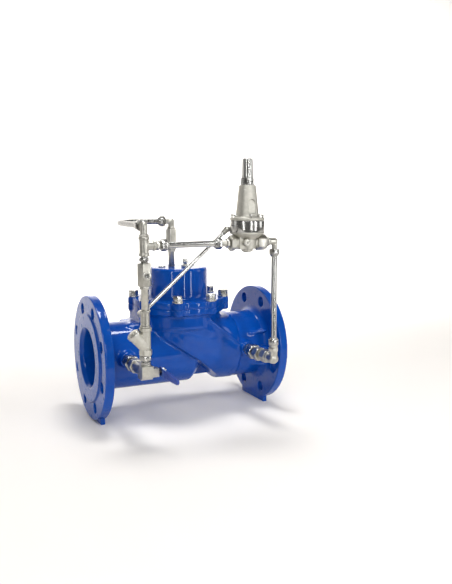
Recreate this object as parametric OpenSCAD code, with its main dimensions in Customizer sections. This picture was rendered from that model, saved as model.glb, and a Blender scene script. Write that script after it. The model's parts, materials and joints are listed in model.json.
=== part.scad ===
// Pilot-operated pressure reducing valve, DN 100, PN 16.
// Millimetres. +X is the flow direction, +Z is up, the pilot circuit is on the -Y side.
// The origin is the centre of the inlet flange's bolt circle, in the plane behind its raised face.

/* [Flanges] */
// Face-to-face length of the main valve
face_to_face = 350; // [346:1:356]
// Outside diameter of both flanges
flange_d = 220; // [216:1:224]
// Thickness of a flange, with its raised face
flange_t = 19; // [18:1:21]
// Height of the raised face
raised_t = 3; // [2:0.5:3]
// Diameter of the raised face
raised_d = 158; // [154:1:159]
// Bolt circle of both flanges
flange_pcd = 180; // [179:1:181]
// Diameter of a flange bolt hole
flange_hole_d = 19; // [18:0.5:19]
// Bolt holes in each flange
flange_holes = 8; // [4, 8]
// Bore of the inlet and outlet
bore_d = 100; // [98:1:100]
// Width of the mouth of each bore
mouth_d = 108; // [104:1:110]
// Width of the feet under the flanges
foot_w = 90; // [80:1:100]
// Height of the pipe axis above the feet
axis_height = 112; // [111.5:0.5:114]

/* [Cover] */
// Height of the joint between body and cover
joint_z = 87; // [86.5:0.5:87]
// Bolt circle of the cover
cover_pcd = 166; // [165:1:167]
// Bolts in the cover
cover_bolt_count = 8; // [8]
// Outside diameter of the dome
dome_d = 107.5; // [105:0.5:109]
// Height of the top of the dome above the pipe axis
dome_top = 155; // [154:1:156]

/* [Main valve trim] */
// Diameter of the seat opening
seat_d = 72; // [70:1:72]
// Diameter of the main stem
stem_d = 14; // [13:0.5:14]

/* [Pilot circuit] */
// Distance of the circuit's plane in front of the pipe axis
circuit_out = 165; // [163:1:167]
// Distance of the inlet riser upstream of the valve's middle
riser_back = 122; // [121:0.5:123]
// Distance of the outlet drop tube downstream of the middle
drop_ahead = 110; // [110:0.5:110.5]
// Distance of the pilot's axis downstream of the middle
pilot_ahead = 58; // [57.5:0.5:58]
// Height of the branches on the body
branch_z = 5; // [4:0.5:6]
// Height of the pilot's port axis
port_z = 207; // [206.5:0.5:207]
// Outside diameter of the steel tube
tube_d = 10; // [9.5:0.1:10]
// Outside diameter of the thin sensing tube
sense_d = 6; // [5.5:0.1:6]

/* [Pilot] */
// Diameter of the polished spring-chamber ring
ring_d = 58; // [56:0.5:58.5]
// Diameter of the cone at its foot
cone_foot_d = 38.4; // [38:0.2:39]
// Diameter of the cone at its top
cone_top_d = 28; // [27.5:0.5:28.5]
// Pitch of the adjusting screw
screw_pitch = 1.25; // [1:0.05:1.5]

/* [Hidden] */
$fn = 64;
hull_fn = 32;
eps = 0.01;
run_fit = 0.05;
blue = [0.08, 0.27, 0.62];
steel = [0.74, 0.73, 0.69];
bright = [0.85, 0.85, 0.84];
bronze = [0.72, 0.52, 0.26];
rubber = [0.07, 0.07, 0.08];

half_l = face_to_face / 2;
flange_r = flange_d / 2;
bore_r = bore_d / 2;
inlet_r = 60;
chamber_r = 65;
chamber_z = 2.5;
flank_half = 71;
flank_mid = 8;
flank_end = 97;
neck_r = 62;
bowl_r = 77;
lug_r = 10.5;
cover_disc_r = 84.5;
flange_low = 75;
cover_flange_t = 12;
cover_face = joint_z + cover_flange_t;
dome_wall = 8.5;
dome_in = dome_top - 8;
well_r = 48;
well_floor = 24;
split_inlet = -95;
split_outlet = 91;
recess_r = 76.3;
recess_t = 1.5;
first_lug = 22.5;
washer_t = 2.5;
bolt_step = 360 / cover_bolt_count;

stem_r = stem_d / 2;
seat_r = seat_d / 2;
seat_top = 34;
trim_gap = 0.2;
disc_z = seat_top + trim_gap;
plate_r = 38;
plate_z = 70;
stem_top_r = 6;
boss_low = 110;

front = -circuit_out;
riser_x = -riser_back;
drop_x = drop_ahead;
pilot_x = pilot_ahead;
tube_r = tube_d / 2;
tube_hole = tube_d - 2;
fit_hole = 7;
top_z = 238;
dome_pipe = [-9, 10];
tube_bend_r = 60;
sense_y = front + 17;
sense_low = [riser_x, sense_y, 97];
sense_high = [pilot_x - 29, sense_y, 229];
sense_dx = sense_high[0] - sense_low[0];
sense_dz = sense_high[2] - sense_low[2];
sense_tilt = atan2(sense_dx, sense_dz);
sense_l = sqrt(sense_dx * sense_dx + sense_dz * sense_dz);

// ---- Placing ------------------------------------------------------------------------------

// Everything below is drawn around the middle of the valve and moved here to the row's origin.
module at_valve() translate([half_l - raised_t, 0, 0]) children();

module at_point(p) at_valve() translate(p) children();

// Turn a shape drawn along +Z to point right (+X), left (-X), back (+Y) or front (-Y).
module right() rotate([0, 90, 0]) children();
module left() rotate([0, -90, 0]) children();
module back() rotate([-90, 0, 0]) children();
module forward() rotate([90, 0, 0]) children();

module around_cover() {
  for (i = [0 : cover_bolt_count - 1])
    rotate([0, 0, first_lug + i * bolt_step]) translate([cover_pcd / 2, 0, 0]) children();
}

// ---- Shared shapes ------------------------------------------------------------------------

module tube(outer_r, inner_r, h) {
  difference() {
    cylinder(r = outer_r, h = h);
    translate([0, 0, -1]) cylinder(r = inner_r, h = h + 2);
  }
}

// A hexagon across flats af, with its corners chamfered at both ends.
module hexagon(af, h) {
  corner = af / 2 / cos(30);
  edge = af / 2 - 0.2;
  chamfer = (corner - edge) * 0.6;
  intersection() {
    cylinder(r = corner, h = h, $fn = 6);
    rotate_extrude() polygon([
      [0, 0], [edge, 0], [corner + 0.1, chamfer],
      [corner + 0.1, h - chamfer], [edge, h], [0, h]
    ]);
  }
}

module hex_nut(af, h, hole) {
  difference() {
    hexagon(af, h);
    translate([0, 0, -1]) cylinder(r = hole, h = h + 2);
  }
}

// A tube nut: a hexagon with a short round shoulder where the tube enters.
module tube_nut(af, h, hole) {
  difference() {
    union() {
      hexagon(af, h - 3);
      translate([0, 0, h - 3 - eps]) cylinder(r1 = af / 2 - 0.8, r2 = af / 2 - 2, h = 3);
    }
    translate([0, 0, -1]) cylinder(r = hole, h = h + 2);
  }
}

// A round end with a raised bead at its mouth, as on a cast fitting.
module beaded_end(r, h) {
  cylinder(r = r, h = h);
  translate([0, 0, h - 4]) cylinder(r = r + 1.2, h = 4);
}

// A round wire wound into an open coil between two heights.
module coil(mean_r, wire_r, z_low, z_high, turns) {
  sides = 8;
  steps = 20 * turns;
  rise = z_high - z_low - 2 * wire_r;
  points = [
    for (i = [0 : steps], k = [0 : sides - 1])
      let (a = 360 * turns * i / steps, b = 360 * k / sides, r = mean_r + wire_r * cos(b))
        [r * cos(a), r * sin(a), z_low + wire_r + rise * i / steps + wire_r * sin(b)]
  ];
  walls = [
    for (i = [0 : steps - 1], k = [0 : sides - 1])
      let (j = (k + 1) % sides)
        [i * sides + k, (i + 1) * sides + k, (i + 1) * sides + j, i * sides + j]
  ];
  start = [[for (k = [0 : sides - 1]) k]];
  end = [[for (k = [sides - 1 : -1 : 0]) steps * sides + k]];
  polyhedron(points = points, faces = concat(walls, start, end), convexity = 10);
}

// ---- Main valve ---------------------------------------------------------------------------

module lobed_plate(h) linear_extrude(h) {
  circle(r = cover_disc_r);
  around_cover() circle(r = lug_r);
}

module flange_blank() {
  rotate_extrude() polygon([
    [0, -raised_t], [raised_d / 2, -raised_t], [raised_d / 2, 0],
    [flange_r, 0], [flange_r, flange_t - raised_t], [0, flange_t - raised_t]
  ]);
}

module flange_cuts() {
  for (i = [0 : flange_holes - 1])
    rotate([0, 0, (i + 0.5) * 360 / flange_holes])
      translate([flange_pcd / 2, 0, -raised_t - 1])
        cylinder(d = flange_hole_d, h = flange_t + 2);
  translate([0, 0, -raised_t - 1])
    cylinder(r1 = mouth_d / 2 + 0.5, r2 = bore_r - 0.5, h = 8);
}

module foot(x_low) {
  foot_t = 10;
  translate([x_low, -foot_w / 2, -axis_height]) cube([foot_t, foot_w, 40]);
}

// The outlet side: from under the bowl down to the outlet barrel.
module outlet_hood() {
  hull() {
    translate([0, 0, 57]) cylinder(r = bowl_r - 2, h = 6, $fn = hull_fn);
    translate([80, 0, chamber_z]) right() cylinder(r = chamber_r, h = flank_end - 80, $fn = hull_fn);
  }
}

// The flat side walls over the wall between inlet and outlet: straight sides, a round bottom.
module side_walls() {
  intersection() {
    xz_slab([
      [-66, 44], [-70, 76], [18, 76], [flank_end, 11], [flank_end, -70], [72, -70], [58, -47], [17, -13]
    ]);
    translate([-80, 0, 0]) rotate([90, 0, 90]) linear_extrude(190) polygon(concat(
      [[flank_half, 80]],
      [for (a = [0 : -10 : -180]) [flank_half * cos(a), flank_mid + flank_half * sin(a)]],
      [[-flank_half, 80]]
    ));
    union() {
      translate([0, 0, -80]) cylinder(r = bowl_r - 3, h = 170);
      translate([-20, -flank_half - 5, -80]) cube([130, 2 * flank_half + 10, 170]);
    }
  }
}

module flank() {
  outlet_hood();
  side_walls();
}

module past_split() translate([split_outlet, -flange_r, -flange_r]) cube([80, flange_d, flange_d]);

// The shoulder between the inlet barrel and the bowl.
module shoulder() {
  hull() {
    translate([-116, -25, 40]) cube([1, 50, 10]);
    translate([-105, -25, 40]) cube([1, 50, 20]);
    translate([-66, -40, 40]) cube([1, 80, 21]);
  }
}

module body_metal() {
  right() rotate_extrude() polygon([
    [0, split_inlet], [inlet_r, split_inlet], [inlet_r, 10], [44, 28], [0, 28]
  ]);
  flank();
  rotate_extrude() polygon([
    [0, 36], [58, 36], [bowl_r, 50], [bowl_r, flange_low + 2], [0, flange_low + 2]
  ]);
  translate([0, 0, flange_low]) lobed_plate(joint_z - flange_low);
  intersection() {
    shoulder();
    translate([split_inlet, -60, 0]) cube([60, 120, 120]);
  }
  translate([-84, -36, 50]) cube([30, 72, 26]);
  translate([10, -6, -52]) cube([52, 12, 30]);
}

module xz_slab(outline) {
  translate([0, flange_r, 0]) forward() linear_extrude(flange_d) polygon(outline);
}

module inlet_way() {
  intersection() {
    translate([split_inlet - 1, 0, 0]) right() cylinder(r = bore_r, h = 45 - split_inlet);
    xz_slab([
      [split_inlet - 2, -60], [split_inlet - 2, 60], [split_inlet, 60],
      [-76, 14], [36, 14], [30, -6], [4, -60]
    ]);
  }
}

module outlet_way() {
  intersection() {
    translate([20, 0, 0]) right() cylinder(r = bore_r, h = split_outlet - 19);
    xz_slab([
      [22, well_floor + 2], [42, well_floor + 2], [58, -2], [84, -60],
      [split_outlet + 2, -60], [split_outlet + 2, 60], [22, 60]
    ]);
  }
}

module valve_body() {
  color(blue) at_valve() difference() {
    body_metal();
    past_split();
    inlet_way();
    outlet_way();
    cylinder(r = seat_r + 4, h = well_floor + 1);
    translate([0, 0, well_floor]) cylinder(r = well_r, h = 40);
    translate([0, 0, 50]) cylinder(r = 68, h = 50);
    translate([0, 0, joint_z - recess_t]) cylinder(r = recess_r, h = 5);
    around_cover() translate([0, 0, flange_low - 1]) cylinder(r = 5 + run_fit, h = 20);
  }
}

// The casting's two ends, divided from it square to the pipe: each is a ring with its flange.
module inlet_end() {
  color(blue) at_valve() difference() {
    union() {
      translate([-half_l + raised_t, 0, 0]) right() flange_blank();
      foot(-half_l + flange_t - 10);
      translate([-half_l + 5, 0, 0]) right()
        cylinder(r = inlet_r, h = split_inlet + half_l - 5);
      intersection() {
        shoulder();
        translate([split_inlet - 60, -60, 0]) cube([60, 120, 120]);
      }
      translate([riser_x, 0, branch_z]) forward() cylinder(r = 14, h = 72);
    }
    translate([-half_l - 1, 0, 0]) right() cylinder(r = bore_r, h = half_l + split_inlet + 2);
    translate([-half_l + raised_t, 0, 0]) right() flange_cuts();
    translate([riser_x, -40, branch_z]) forward() cylinder(r = 5.5, h = 40);
  }
}

module outlet_end() {
  color(blue) at_valve() difference() {
    union() {
      translate([half_l - raised_t, 0, 0]) left() flange_blank();
      foot(half_l - flange_t);
      translate([split_outlet, 0, 0]) right()
        cylinder(r = neck_r, h = half_l - flange_t + 2 - split_outlet);
      intersection() {
        flank();
        past_split();
      }
      translate([drop_x - 4, 0, branch_z - 1]) forward() cylinder(r = 14, h = 80);
    }
    translate([split_outlet - 1, 0, 0]) right() cylinder(r = bore_r, h = half_l - split_outlet + 2);
    translate([half_l - raised_t, 0, 0]) left() flange_cuts();
    translate([drop_x - 4, -40, branch_z - 1]) forward() cylinder(r = 5.5, h = 50);
  }
}

module dome_outline() {
  r = dome_d / 2;
  round_r = 4.5;
  foot_r = 5;
  polygon(concat(
    [[0, cover_face - 1], [r + foot_r, cover_face - 1], [r + foot_r, cover_face]],
    [for (a = [90 : -15 : 0])
      [r + foot_r - foot_r * cos(90 - a), cover_face + foot_r - foot_r * sin(a)]],
    [for (a = [0 : 15 : 90])
      [r - round_r + round_r * cos(a), dome_top - round_r + round_r * sin(a)]],
    [[0, dome_top]]
  ));
}

module cover() {
  color(blue) at_valve() difference() {
    union() {
      translate([0, 0, joint_z]) lobed_plate(cover_flange_t);
      rotate_extrude() dome_outline();
    }
    difference() {
      translate([0, 0, joint_z - 1]) cylinder(r = dome_d / 2 - dome_wall, h = dome_in - joint_z + 1);
      translate([0, 0, boss_low]) cylinder(r = 10, h = 60);
    }
    translate([0, 0, joint_z - 1]) cylinder(r = recess_r, h = recess_t + 1);
    translate([0, 0, joint_z]) cylinder(r1 = 68, r2 = 46, h = 9);
    translate([0, 0, boss_low - 1]) cylinder(r = 9, h = 37);
    around_cover() translate([0, 0, joint_z - 1]) cylinder(r = 5.5, h = 20);
    translate([dome_pipe[0], dome_pipe[1], dome_in - 3]) cylinder(r = 2.5, h = 20);
    translate([8, -16, dome_in - 3]) cylinder(r = 2, h = 20);
  }
}

module cover_bolts() {
  color(steel) at_valve() around_cover() {
    translate([0, 0, cover_face + washer_t]) hexagon(16, 10);
    translate([0, 0, flange_low + 1]) cylinder(r = 5, h = cover_face + 2 - flange_low - 1);
  }
}

module cover_washers() {
  color(steel) at_valve() around_cover()
    translate([0, 0, cover_face]) tube(10, 5.2, washer_t);
}

module dome_plugs() {
  color(steel) {
    at_point([8, -16, dome_top]) {
      hexagon(14, 5);
      translate([0, 0, 5 - eps]) cylinder(r = 3.4, h = 2.5);
      translate([0, 0, 7]) cylinder(r = 4.6, h = 9);
    }
    for (p = [[-31, 2], [33, 20]]) at_point([p[0], p[1], dome_top]) difference() {
      cylinder(r = 6.5, h = 2);
      translate([0, 0, 1]) cylinder(r = 3, h = 2, $fn = 6);
    }
  }
}

module seat_ring() {
  color(steel) at_valve() {
    difference() {
      union() {
        translate([0, 0, 14]) cylinder(r = seat_r + 3.9, h = 11);
        translate([0, 0, well_floor]) cylinder(r = 46, h = 4);
        translate([0, 0, well_floor]) cylinder(r = seat_r + 3, h = seat_top - well_floor);
      }
      translate([0, 0, 10]) cylinder(r = seat_r, h = 30);
      translate([0, 0, 16]) difference() {
        cylinder(r = seat_r + 6, h = 3.6);
        translate([0, 0, -1]) cylinder(r = seat_r + 1.4, h = 6);
      }
    }
    difference() {
      union() {
        translate([0, 0, 8]) cylinder(r = 12, h = 16);
        for (a = [0, 120, 240]) rotate([0, 0, a]) translate([8, -2.5, 14]) cube([seat_r - 7, 5, 9]);
      }
      translate([0, 0, 7]) cylinder(r = stem_r + run_fit, h = 20);
    }
  }
}

module seat_o_ring() {
  color(rubber) at_valve() translate([0, 0, 17.8])
    rotate_extrude() translate([seat_r + 2.7, 0]) circle(r = 1.25, $fn = 24);
}

module stem_bush() {
  color(bronze) at_valve() translate([0, 0, boss_low]) tube(9, stem_top_r + run_fit, 30);
}

module main_stem() {
  color(bright) at_valve() {
    translate([0, 0, -10]) cylinder(r1 = stem_r - 1.5, r2 = stem_r, h = 2);
    translate([0, 0, -8 - eps]) cylinder(r = stem_r, h = 99);
    translate([0, 0, 91 - 2 * eps]) cylinder(r = stem_top_r, h = 33);
  }
}

module disc_retainer() {
  color(steel) at_valve() translate([0, 0, 29.5]) tube(seat_r - 2, stem_r, disc_z - 29.5);
}

module valve_disc() {
  color(rubber) at_valve() translate([0, 0, disc_z]) tube(41, stem_r, 6.5);
}

module disc_holder() {
  color(steel) at_valve() difference() {
    union() {
      translate([0, 0, disc_z + 6.5]) cylinder(r = 43, h = 6);
      translate([0, 0, disc_z + 12.5 - eps]) cylinder(r1 = 22, r2 = 14, h = 8);
      translate([0, 0, disc_z + 12]) cylinder(r = 14, h = plate_z - disc_z - 12);
    }
    translate([0, 0, disc_z]) cylinder(r = stem_r, h = 50);
  }
}

module lower_diaphragm_plate() {
  color(steel) at_valve() translate([0, 0, plate_z]) tube(plate_r, stem_r, 6);
}

module main_diaphragm() {
  color(rubber) at_valve() rotate_extrude() polygon([
    [stem_r, plate_z + 6], [plate_r + 2, plate_z + 6], [66, joint_z - recess_t],
    [recess_r - 0.3, joint_z - recess_t], [recess_r - 0.3, joint_z + recess_t],
    [65, joint_z + recess_t], [plate_r + 1, plate_z + 9], [stem_r, plate_z + 9]
  ]);
}

module upper_diaphragm_plate() {
  color(steel) at_valve() translate([0, 0, plate_z + 9]) tube(plate_r, stem_r, 4);
}

module stem_nut() {
  color(steel) at_valve() translate([0, 0, plate_z + 13]) hex_nut(22, 7, stem_r);
}

module main_spring() {
  color(steel) at_valve() coil(24, 2, plate_z + 13, dome_in, 5);
}

// ---- Inlet branch and riser ---------------------------------------------------------------

// Draws its children on both branches, starting from the boss's face and pointing forward.
module on_branches() {
  at_point([riser_x, -72, branch_z]) forward() children();
  at_point([drop_x - 4, -80, branch_z - 1]) forward() children();
}

module branch_nipples() {
  color(steel) on_branches() difference() {
    union() {
      hexagon(19, 12);
      translate([0, 0, -10]) cylinder(r = 5.4, h = 10 + eps);
    }
    translate([0, 0, -11]) cylinder(r = fit_hole / 2, h = 30);
  }
}

module branch_unions() {
  color(steel) on_branches() translate([0, 0, 12]) difference() {
    union() {
      hexagon(24, 14);
      translate([0, 0, 14 - eps]) cylinder(r = 9.5, h = 7);
    }
    translate([0, 0, -1]) cylinder(r = fit_hole / 2, h = 30);
  }
}

module inlet_valve_body() {
  inlet_face = circuit_out - 72 - 33;
  color(steel) at_point([riser_x, front, branch_z]) difference() {
    union() {
      translate([-9.5, 0, 0]) rotate([90, 0, 90]) linear_extrude(19)
        polygon([[-10, 12], [-10, -4], [-4, -10.5], [13, -10.5], [13, 12]]);
      back() cylinder(r = 9.5, h = inlet_face);
      translate([0, inlet_face - 14, 0]) back() hexagon(22, 14);
      cylinder(r = 8.5, h = 14);
      translate([0, 0, 5]) cylinder(r = 10, h = 6);
      translate([0, -6.5, -7]) cube([20, 13, 14]);
      right() cylinder(r = 5, h = 21);
    }
    sphere(r = 8.1);
    back() cylinder(r = fit_hole / 2, h = 80);
    cylinder(r = fit_hole / 2, h = 30);
    right() cylinder(r = 3 + run_fit, h = 40);
  }
}

module inlet_valve_ball() {
  color(bright) at_point([riser_x, front, branch_z]) {
    difference() {
      sphere(r = 8);
      translate([0, -1, 0]) back() cylinder(r = 3.5, h = 12);
      translate([0, 0, -1]) cylinder(r = 3.5, h = 12);
    }
    translate([6.5, 0, 0]) right() cylinder(r = 3, h = 26.5);
  }
}

// A flat steel strip from the stem, leaning outward, in a thicker tapered grip.
module inlet_lever() {
  droop = 8;
  lever_x = 24;
  color(blue) at_point([riser_x, front, branch_z]) difference() {
    rotate([droop, 0, 0]) union() {
      translate([lever_x, 0, 0]) right() cylinder(r = 8, h = 3);
      translate([lever_x, -14, -7]) cube([3, 14, 14]);
      hull() {
        translate([lever_x, -15, -7]) cube([3, 3, 14]);
        translate([lever_x + 7, -34, 0]) right() cylinder(r = 6, h = 5, center = true, $fn = hull_fn);
        translate([lever_x + 9, -50, 0]) right() cylinder(r = 5, h = 5, center = true, $fn = hull_fn);
      }
    }
    right() cylinder(r = 3, h = 60);
  }
}

module lever_nut() {
  color(steel) at_point([riser_x + 27, front, branch_z]) right() hex_nut(10, 5, 3);
}

strainer_z = 34;
screen_tilt = -42;
module in_strainer_branch() {
  at_point([riser_x, front, strainer_z + 12]) rotate([0, screen_tilt, 0]) children();
}

module strainer_body() {
  color(steel) difference() {
    union() {
      at_point([riser_x, front, strainer_z]) {
        cylinder(r = 8.5, h = 43);
        hexagon(19, 9);
        translate([0, 0, 39]) cylinder(r = 10, h = 5);
      }
      in_strainer_branch() cylinder(r = 9.5, h = 26);
    }
    at_point([riser_x, front, strainer_z - 1]) cylinder(r = fit_hole / 2, h = 50);
    in_strainer_branch() cylinder(r = 6.5, h = 30);
  }
}

module strainer_screen() {
  color(bright) in_strainer_branch() translate([0, 0, 4]) tube(6, 5.4, 21.8);
}

module strainer_cap() {
  color(steel) in_strainer_branch() {
    translate([0, 0, 26]) cylinder(r = 10.6, h = 5.5);
    translate([0, 0, 31.5 - eps]) cylinder(r1 = 10.2, r2 = 8.8, h = 1.5);
    translate([0, 0, 33 - 2 * eps]) cylinder(r = 5, h = 1.2);
  }
}

sensing_z = strainer_z + 44;
module sensing_tee() {
  color(steel) at_point([riser_x, front, sensing_z]) difference() {
    union() {
      cylinder(r = 7.4, h = 28);
      cylinder(r = 8.6, h = 3.5);
      translate([0, 0, 25]) cylinder(r = 8.6, h = 3);
      translate([0, 0, sense_low[2] - sensing_z]) back() cylinder(r = 5.5, h = 11);
    }
    translate([0, 0, -1]) cylinder(r = fit_hole / 2, h = 40);
    translate([0, 0, sense_low[2] - sensing_z]) back() cylinder(r = 2, h = 40);
  }
}

pipe_z = sensing_z + 28;
module riser_pipe() {
  color(steel) at_point([riser_x, front, pipe_z]) difference() {
    union() {
      cylinder(r = 5.8, h = 38);
      translate([0, 0, 33]) hexagon(14.5, 5);
    }
    translate([0, 0, -1]) cylinder(r = fit_hole / 2, h = 50);
  }
}

isolation_z = pipe_z + 38;
isolation_port = 17;
module isolation_body() {
  color(steel) at_point([riser_x, front, isolation_z]) difference() {
    union() {
      hexagon(20, 36);
      translate([0, 0, isolation_port]) forward() cylinder(r = 6.5, h = 13);
    }
    translate([0, 0, -1]) cylinder(r = fit_hole / 2, h = 50);
    translate([0, 0, isolation_port]) sphere(r = 7.6);
    translate([0, 0, isolation_port]) forward() cylinder(r = 3.5 + run_fit, h = 30);
  }
}

module isolation_ball() {
  color(bright) at_point([riser_x, front, isolation_z + isolation_port]) {
    difference() {
      sphere(r = 7.5);
      translate([0, 0, -10]) cylinder(r = 3, h = 20);
    }
    difference() {
      translate([0, -6, 0]) forward() cylinder(r = 3.5, h = 9);
      translate([-0.8, -16, -4]) cube([1.6, 3, 8]);
    }
  }
}

nipple_z = isolation_z + 36;
// The union above the ball valve, and the nipple above the shut-off valve.
module riser_nipples() {
  color(steel) {
    at_point([riser_x, front, branch_z + 14]) difference() {
      union() {
        cylinder(r = 6, h = 15);
        hexagon(15, 5);
        translate([0, 0, 7]) hexagon(18, 8);
      }
      translate([0, 0, -1]) cylinder(r = fit_hole / 2, h = 20);
    }
    at_point([riser_x, front, nipple_z]) difference() {
      union() {
        cylinder(r = 5.6, h = 11);
        translate([0, 0, 3]) hexagon(14.5, 5.5);
      }
      translate([0, 0, -1]) cylinder(r = fit_hole / 2, h = 20);
    }
  }
}

tee_z = nipple_z + 11;
tee_l = 30;
module supply_tee() {
  color(steel) at_point([riser_x, front, tee_z]) difference() {
    union() {
      cylinder(r = 7.5, h = tee_l);
      cylinder(r = 8.7, h = 4);
      translate([0, 0, tee_l - 4]) cylinder(r = 8.7, h = 4);
      translate([0, 0, port_z - tee_z]) right() beaded_end(7.2, 18);
    }
    translate([0, 0, -1]) cylinder(r = fit_hole / 2, h = 50);
    translate([0, 0, port_z - tee_z]) right() cylinder(r = fit_hole / 2, h = 50);
  }
}

// ---- Tubes and tube fittings --------------------------------------------------------------

nut_af = 17;
nut_l = 12.5;
elbow_arm = 13;

// A forged elbow: its foot points down, its arm points along +X and takes a tube nut.
module elbow(foot_l) {
  difference() {
    union() {
      sphere(r = 5.8);
      translate([0, 0, -foot_l]) cylinder(r = 5.8, h = foot_l);
      translate([0, 0, -foot_l]) hexagon(14, 4);
      right() cylinder(r = 4.8, h = elbow_arm);
    }
    translate([0, 0, -foot_l - 1]) cylinder(r = 3, h = foot_l + 1);
    right() cylinder(r = 3, h = 40);
  }
}

module riser_elbow_place() at_point([riser_x, front, top_z]) rotate([0, 0, 90]) children();
module dome_elbow_place() at_point([dome_pipe[0], dome_pipe[1], top_z]) rotate([0, 0, 180]) children();
module drop_elbow_place() at_point([drop_x, front, port_z + 1]) rotate([0, 90, 0]) children();

regulator_low = 186;
regulator_top = 224;
module tube_elbows() {
  color(steel) {
    riser_elbow_place() elbow(top_z - tee_z - tee_l);
    dome_elbow_place() elbow(top_z - regulator_top);
    drop_elbow_place() elbow(15);
  }
}

// A short hexagon nipple between a fitting and a tube nut.
module adapter(l) {
  difference() {
    union() {
      cylinder(r = 5.2, h = l);
      translate([0, 0, 1.5]) hexagon(14, 4.5);
    }
    translate([0, 0, -1]) cylinder(r = fit_hole / 2, h = l + 2);
  }
}

module tube_adapters() {
  color(steel) {
    at_point([riser_x + 18, front, port_z]) right() adapter(9.5);
    at_point([pilot_x - 33, front, port_z]) left() adapter(15);
    at_point([pilot_x + 16, front, port_z]) right() difference() {
      union() {
        hexagon(23, 18);
        translate([0, 0, 18 - eps]) cylinder(r = 7, h = 3 + eps);
      }
      translate([0, 0, -1]) cylinder(r = fit_hole / 2, h = 30);
    }
  }
}

supply_nut_x = riser_x + 27.5;
supply_end_x = pilot_x - 48;
module supply_tube() {
  color(bright) at_point([supply_nut_x, front, port_z]) right()
    tube(tube_r, tube_hole / 2, supply_end_x - supply_nut_x);
}

drop_top_z = port_z + 1 - elbow_arm;
drop_low_z = branch_z + 24;
module outlet_tube() {
  color(bright) at_point([drop_x, front, drop_low_z]) tube(tube_r, tube_hole / 2, drop_top_z - drop_low_z);
}

// Leaves the riser's top elbow toward the back, bends once and runs to the dome's elbow.
module dome_tube() {
  back_l = circuit_out + dome_pipe[1] - tube_bend_r - elbow_arm;
  side_l = dome_pipe[0] - riser_x - tube_bend_r - elbow_arm;
  color(bright) at_point([riser_x, front, top_z]) {
    translate([0, elbow_arm, 0]) back() tube(tube_r, tube_hole / 2, back_l);
    translate([tube_bend_r, elbow_arm + back_l, 0]) rotate([0, 0, 90]) rotate_extrude(angle = 90)
      translate([tube_bend_r, 0]) difference() {
        circle(r = tube_r);
        circle(r = tube_hole / 2);
      }
    translate([tube_bend_r, elbow_arm + back_l + tube_bend_r, 0]) right()
      tube(tube_r, tube_hole / 2, side_l);
  }
}

// Tube nuts sit over the ends of the tubes and butt against the fittings' arms.
module compression_nuts() {
  color(steel) {
    riser_elbow_place() translate([elbow_arm, 0, 0]) right() tube_nut(nut_af, nut_l, tube_r);
    dome_elbow_place() translate([elbow_arm, 0, 0]) right() tube_nut(nut_af, nut_l, tube_r);
    drop_elbow_place() translate([elbow_arm, 0, 0]) right() tube_nut(nut_af, nut_l, tube_r);
    at_point([supply_nut_x, front, port_z]) right() tube_nut(nut_af, nut_l, tube_r);
    at_point([supply_end_x, front, port_z]) left() tube_nut(nut_af, nut_l, tube_r);
    at_point([drop_x, front, drop_low_z]) tube_nut(nut_af, nut_l, tube_r);
  }
}

module regulator_body() {
  color(steel) at_point([dome_pipe[0], dome_pipe[1], regulator_low]) difference() {
    union() {
      hexagon(18, 38);
      cylinder(r = 6.5, h = 38);
      translate([0, 0, 20]) back() cylinder(r = 6, h = 13);
    }
    translate([0, 0, -1]) cylinder(r = 3, h = 60);
    translate([0, 0, 20]) back() cylinder(r = 4 + run_fit, h = 30);
    translate([0, -5, 20]) back() cylinder(r = 4 + run_fit, h = 30);
  }
}

module regulator_plug() {
  color(bright) at_point([dome_pipe[0], dome_pipe[1], regulator_low + 20]) difference() {
    translate([0, -4.8, 0]) back() cylinder(r = 4, h = 20);
    translate([0, 0, -10]) cylinder(r = 2.5, h = 20);
    translate([-0.8, 13.4, -5]) cube([1.6, 4, 10]);
  }
}

module dome_pipe_stub() {
  color(steel) at_point([dome_pipe[0], dome_pipe[1], dome_top]) difference() {
    union() {
      cylinder(r = 6, h = regulator_low - dome_top);
      translate([0, 0, 27]) cylinder(r = 7.4, h = 4);
    }
    translate([0, 0, -1]) cylinder(r = 3, h = 50);
  }
}

module sensing_tube() {
  color(bright) at_point(sense_low) rotate([0, sense_tilt, 0]) translate([0, 0, 6])
    tube(sense_d / 2, sense_d / 2 - 1, sense_l - 12);
}

// The thin tube's end pieces: an eye on the tee and an eye on the pilot, with a nut each.
module sensing_fittings() {
  color(steel) {
    at_point(sense_low) difference() {
      union() {
        translate([0, -6, 0]) back() cylinder(r = 6, h = 12);
        rotate([0, sense_tilt, 0]) translate([0, 0, 5]) hexagon(9.5, 10);
      }
      rotate([0, sense_tilt, 0]) translate([0, 0, 6]) cylinder(r = sense_d / 2, h = 30);
    }
    at_point(sense_high) difference() {
      union() {
        sphere(r = 5.5);
        rotate([0, sense_tilt + 180, 0]) translate([0, 0, 3]) hexagon(8.5, 7);
      }
      rotate([0, sense_tilt + 180, 0]) translate([0, 0, 6]) cylinder(r = sense_d / 2, h = 30);
      translate([29, -17, 0]) cylinder(d = ring_d, h = 40, center = true);
    }
  }
}

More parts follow.
